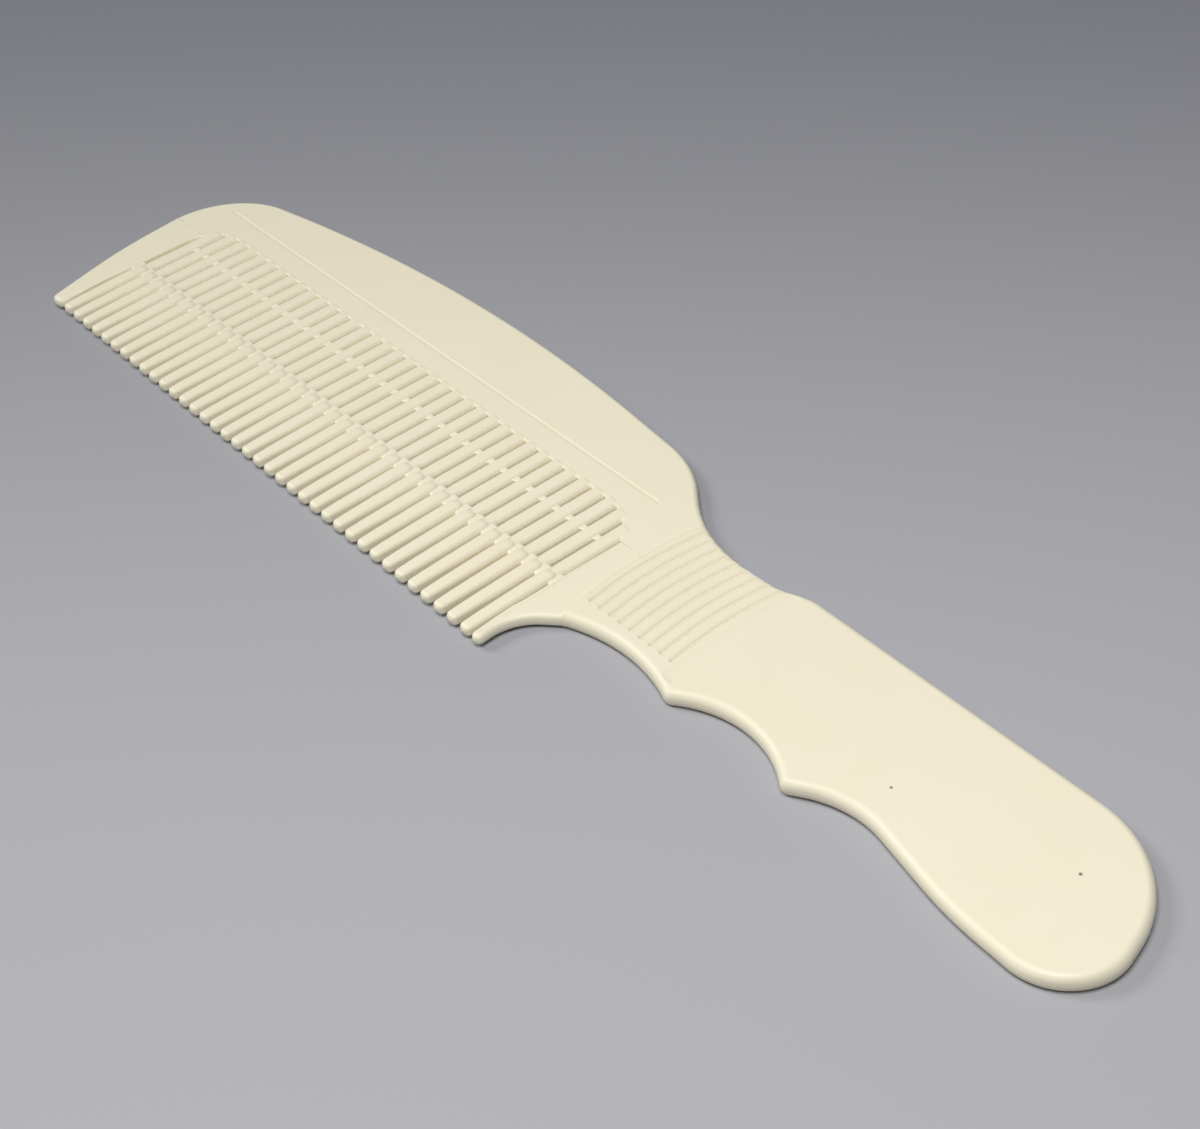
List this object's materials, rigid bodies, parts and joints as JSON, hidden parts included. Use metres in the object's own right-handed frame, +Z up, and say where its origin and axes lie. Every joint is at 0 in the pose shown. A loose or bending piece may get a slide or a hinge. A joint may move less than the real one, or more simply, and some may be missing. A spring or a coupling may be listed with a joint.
{
  "type": "clipper comb",
  "caption": "Ivory plastic flat-top clipper comb with a broad curved spine, guarded teeth tied by a cross web, a grooved neck and a finger-grooved flat handle.",
  "frame": {"origin": "under the middle of the comb's length and width, on the surface that it lies on", "axes": "+X along the comb from the nose guard to the end of the handle, +Y from the tooth tips to the back of the spine, +Z up out of the face"},
  "size_m": [0.241, 0.053, 0.003],
  "materials": {
    "moulded_plastic": "satin moulded"
  },
  "bodies": {
    "root": {"spine_plate": "moulded_plastic", "nose_guard": "moulded_plastic", "heel_guard": "moulded_plastic", "cross_web": "moulded_plastic", "root_ties": "moulded_plastic", "neck_grip": "moulded_plastic", "handle": "moulded_plastic", "tooth_01": "moulded_plastic", "tooth_02": "moulded_plastic", "tooth_03": "moulded_plastic", "tooth_04": "moulded_plastic", "tooth_05": "moulded_plastic", "tooth_06": "moulded_plastic", "tooth_07": "moulded_plastic", "tooth_08": "moulded_plastic", "tooth_09": "moulded_plastic", "tooth_10": "moulded_plastic", "tooth_11": "moulded_plastic", "tooth_12": "moulded_plastic", "tooth_13": "moulded_plastic", "tooth_14": "moulded_plastic", "tooth_15": "moulded_plastic", "tooth_16": "moulded_plastic", "tooth_17": "moulded_plastic", "tooth_18": "moulded_plastic", "tooth_19": "moulded_plastic", "tooth_20": "moulded_plastic", "tooth_21": "moulded_plastic", "tooth_22": "moulded_plastic", "tooth_23": "moulded_plastic", "tooth_24": "moulded_plastic", "tooth_25": "moulded_plastic", "tooth_26": "moulded_plastic", "tooth_27": "moulded_plastic", "tooth_28": "moulded_plastic", "tooth_29": "moulded_plastic", "tooth_30": "moulded_plastic", "tooth_31": "moulded_plastic", "tooth_32": "moulded_plastic", "tooth_33": "moulded_plastic", "tooth_34": "moulded_plastic", "tooth_35": "moulded_plastic", "tooth_36": "moulded_plastic", "tooth_37": "moulded_plastic"}
  },
  "joints": []
}
